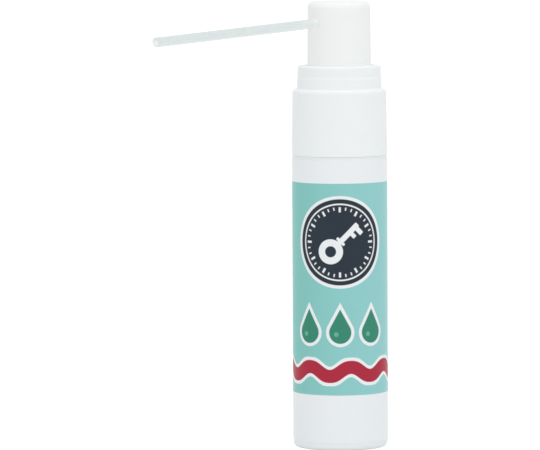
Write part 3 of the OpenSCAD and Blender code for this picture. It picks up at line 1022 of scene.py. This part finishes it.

# %% [markdown]
# ## Clear polythene
#
# The straw isn't glass: polythene is cloudy, so light is scattered as it goes through, and the tube looks
# like pale bluish milk. Pure transmission would be too clear and a white plastic too solid. An Alpha of
# about a half lies between the two: each surface that a ray passes takes away a part of what is behind it.
# The skin is scuffed by handling and the bore isn't, so the skin has the higher Alpha. The skin's Alpha is
# higher still on top, which is painted shade: it makes the top of the straw darker and its underside lighter.
# The faint streaks along the straw come from the die that it was drawn through. Light from the white button
# would run up inside the plastic, and it is painted on as a paler root. Such surfaces would stop most of
# the light, while a real clear straw bends light and lets nearly all of it pass, so this one is left out of
# the shadows.

# %% Finish the straw
STREAK_MM, STREAK_DEPTH = (0.5, 0.5, 16.0), 0.0006
STRAW_ROUGH = (0.26, 0.34)
# The haze on top is painted shade: it darkens the top of the straw and leaves its underside lighter
BORE_HAZE, SKIN_HAZE, TOP_SHADE_HAZE = 0.05, 0.44, 0.64
ROOT_L = 4.2
MILK, MILK_STREAK = tint(213, 224, 223), tint(205, 217, 216)
# Painted light: a paler colour at the root, for light from the white button
MILK_PAINTED_LIGHT = tint(237, 240, 239)

straw_plastic, start, place = new_finish("straw_plastic")
outwards, away = by_straw(place)
turn = Matrix((side_way, rise_way, straw_way)).transposed().to_euler()
lie = {"Vector": place, "Rotation": turn, "Scale": STREAK_MM}
lined = start.node("Mapping", {"vector_type": "TEXTURE"}, lie, "Vector")
streaks = cloud(lined, 1.0)
# Painted light along the root of the straw, fading out over ROOT_L
painted_root_light = ramp(outwards, 1, 0, button_r, button_r + ROOT_L)
above = axes(lined)[1] * STREAK_MM[1] - straw_cross @ rise_way
on_skin = ramp(away, 0, 1, BORE_R + CUT_EDGE, straw_r - CUT_EDGE)
# Painted shade: more Alpha on top makes the straw darker on top and lighter below
haze_with_top_shade = ramp(above, SKIN_HAZE, TOP_SHADE_HAZE, -straw_r, straw_r)
coat_with(start, {
    "Base Color": blend(painted_root_light, blend(streaks, MILK, MILK_STREAK), MILK_PAINTED_LIGHT),
    "Roughness": ramp(streaks, *STRAW_ROUGH, *NOISE_SPAN),
    "Alpha": on_skin * (haze_with_top_shade - BORE_HAZE) + BORE_HAZE,
    "Normal": relief(streaks, STREAK_DEPTH),
})
straw_tube.visible_shadow = False
straw_tube.visible_diffuse = False
fit(straw_tube, "straw", "straw_plastic", straw_plastic, "straw")

# %% [markdown]
# ## The return spring
#
# The spring under the valve stem is hidden, but it moves, and it is kept as a part. A curve with a bevel
# would do for a picture. Here a circle is carried along a helix: at the angle a its middle is
# (R cos a, R sin a, z), one axis of the circle points out from the middle line, and the other stands square
# to it and to the wire. The pitch closes up at both ends, as on a real spring. When the button is pressed
# the spring has to shorten by the travel.

# %% Wind the spring
WIRE_D = 0.35
END_TURNS = 0.8
OPEN_TURNS = 5.2
CLOSED_PITCH = 1.04
RINGS_PER_TURN = 32
WIRE_COLUMNS = 12

spring_low, spring_high = corners_of("return_spring")
wire_r = WIRE_D / 2
coil_r = spring_high[0] - wire_r
coil_foot, coil_top = spring_low[2] + wire_r, spring_high[2] - wire_r
turns = 2 * END_TURNS + OPEN_TURNS
turn_at = np.linspace(0, turns, round(turns * RINGS_PER_TURN))
end_h = END_TURNS * CLOSED_PITCH * WIRE_D
coil_z = np.interp(turn_at, [0, END_TURNS, turns - END_TURNS, turns],
                   [coil_foot, coil_foot + end_h, coil_top - end_h, coil_top])
a = 2 * math.pi * turn_at
outward = np.stack([np.cos(a), np.sin(a), np.zeros_like(a)], axis=-1)
middle = coil_r * outward + coil_z[:, None] * np.array([0, 0, 1])
forward = np.gradient(middle, axis=0)
forward /= np.linalg.norm(forward, axis=1, keepdims=True)
upward = np.cross(forward, outward)
b = full_turn(WIRE_COLUMNS)[None, :, None]
wire_points = middle[:, None] + wire_r * (np.cos(b) * outward[:, None] + np.sin(b) * upward[:, None])
spring_coil = skin("spring_coil", wire_points)
press = joints["press"]
seat_z = press["deforming_nodes"][0]["fixed_end_z_m"] / MM
travel = press["range_m"][1] / MM
spring_h = spring_high[2] - seat_z
print("spring of", turns, "turns, pressed from", round(spring_h, 2), "by", round(travel, 2))

# %% [markdown]
# ## Finishes of the inner parts
#
# The rest of the valve sits inside the collar and the can: an aluminium ferrule, two rubber rings, the
# acetal housing and stem, the dip tube and a steel ball. Their construction shapes are right, so they stay
# as they are and only get their finishes. Each is one recipe with its own colours and roughnesses, and with
# a grain that fits the way it was made.

# %% Finish the inner parts
INNER_DETAIL = 3.0
# Light and dark colour, roughnesses, metal, grain to the millimetre and its depth
INNER_FINISHES = {
    "bare_aluminium": ((206, 208, 210), (190, 193, 196), (0.28, 0.42), 1.0, 3.0, 0.002),
    "gasket_rubber": ((30, 30, 32), (22, 22, 24), (0.62, 0.8), 0.0, 6.0, 0.006),
    "valve_plastic": ((236, 233, 224), (229, 226, 216), (0.35, 0.48), 0.0, 2.0, 0.002),
    "spring_steel": ((168, 169, 172), (140, 142, 146), (0.22, 0.34), 1.0, 4.0, 0.002),
    "tube_plastic": ((230, 236, 236), (221, 229, 229), (0.4, 0.55), 0.0, 1.2, 0.003),
    "ball_steel": ((196, 197, 200), (184, 186, 189), (0.06, 0.16), 1.0, 0.8, 0.001),
}
INNER_SLOTS = {
    "ferrule": "bare_aluminium", "neck_gasket": "gasket_rubber", "stem_gasket": "gasket_rubber",
    "valve_housing": "valve_plastic", "valve_stem": "valve_plastic", "dip_tube": "tube_plastic",
    "agitator_ball": "ball_steel",
}


def inner_finish(name, light, dark, rough, metallic, grain_per_mm, depth):
    """Finish that drifts between two colours and two roughnesses with one grain."""
    finish, start, place = new_finish(name)
    grain = cloud(place, grain_per_mm, INNER_DETAIL)
    coat_with(start, {
        "Base Color": blend(grain, tint(*light), tint(*dark)),
        "Roughness": ramp(grain, *rough, *NOISE_SPAN),
        "Metallic": metallic,
        "Normal": relief(grain, depth),
    })
    return finish


inner = {name: inner_finish(name, *recipe) for name, recipe in INNER_FINISHES.items()}
for node, slot in INNER_SLOTS.items():
    part = frame["nodes"][node]
    part.data.materials.clear()
    part.data.materials.append(inner[slot])
fit(spring_coil, "can", "spring_steel", inner["spring_steel"], "return_spring")
seat_z * MM
1 - travel / spring_h
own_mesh(spring_coil)
print("finished", len(INNER_SLOTS), "inner parts and the spring")

# %% [markdown]
# ## The floor
#
# The can stands on a sheet of white paper that runs to the edges of the picture. Lighting the paper up to
# pure white would overexpose the object, so the paper glows by itself where the camera or a reflection
# looks at it, and is ordinary paper for all other light. A small part of it stays lit by the lamps, and
# there the can's shadow shows.

# %% Lay the floor
FLOOR_HALF = 12000
GLOW = 0.93
LIT_PART = tint(125, 125, 125)
PAPER = tint(240, 240, 240)


def looked_at(start):
    """1 for the camera's rays and for reflected and refracted ones, 0 for light that is scattered."""
    seen = start.node("LightPath", {}, {}, ["Is Camera Ray", "Is Glossy Ray", "Is Transmission Ray"])
    return largest(largest(seen[0], seen[1]), seen[2])


floor_mesh = bpy.data.meshes.new("floor")
sides = np.array([(-1, -1, 0), (1, -1, 0), (1, 1, 0), (-1, 1, 0)]) * FLOOR_HALF
floor_mesh.from_pydata((sides * MM).tolist(), [], [(0, 1, 2, 3)])
floor = bpy.data.objects.new("floor", floor_mesh)
bpy.context.collection.objects.link(floor)
paper, start, place = new_finish("paper")
glow = start.node("Emission", {}, {"Color": (GLOW, GLOW, GLOW, 1.0), "Strength": 1.0}, "Emission")
lit = start.node("BsdfDiffuse", {}, {"Color": LIT_PART}, "BSDF")
shown = start.node("AddShader", {}, {"Shader": glow, "Shader_001": lit}, "Shader")
plain = start.node("BsdfDiffuse", {}, {"Color": PAPER}, "BSDF")
either = {"Fac": looked_at(start), "Shader": plain, "Shader_001": shown}
start.node("OutputMaterial", {}, {"Surface": start.node("MixShader", {}, either, "Shader")}, None)
floor_mesh.materials.append(paper)
print("floor of", 2 * FLOOR_HALF * MM, "m")

# %% [markdown]
# ## Light
#
# White things on white need soft, even light with one gentle side. A large lamp in front and to the right
# is the key, a weaker one on the left opens the shadows, and a small one overhead draws the glints on the
# fillets. Each lamp's power follows from its distance: a white card there gets a share of full white when
# the power is share * pi^2 * distance^2. The shares and the sky add up to a little over one, because no
# lamp shines squarely on every side, and so colours come out about as written.

# %% Set the lamps
SKY = 0.79
LAMP_AIM = (0, 0, 45)
# Name, place, width and share of full white
LAMPS = [
    ("key", (430, -540, 300), 450, 0.1),
    ("fill", (-500, -480, 240), 450, 0.065),
    ("top", (60, -120, 620), 200, 0.17),
]

for name, spot, size, share in LAMPS:
    reach = Vector(spot) - Vector(LAMP_AIM)
    lamp = bpy.data.lights.new(name, "AREA")
    lamp.size = size * MM
    lamp.energy = share * math.pi ** 2 * (reach.length * MM) ** 2
    holder = bpy.data.objects.new(name, lamp)
    holder.location = Vector(spot) * MM
    holder.rotation_euler = reach.to_track_quat("Z", "Y").to_euler()
    bpy.context.collection.objects.link(holder)
    print(f"{name}: {lamp.energy:.2f} W at {reach.length:.0f} mm")

world = bpy.data.worlds.new("studio")
world.use_nodes = True
world.node_tree.nodes.clear()
bpy.context.scene.world = world
start = Wire(world.node_tree)
brightness = looked_at(start) * (1 - SKY) + SKY
sky = start.node("Background", {}, {"Color": FULL_LIGHT, "Strength": brightness}, "Background")
start.node("OutputWorld", {}, {"Surface": sky}, None)

# %% [markdown]
# ## Size and finish
#
# The finished surfaces must not outgrow the construction.
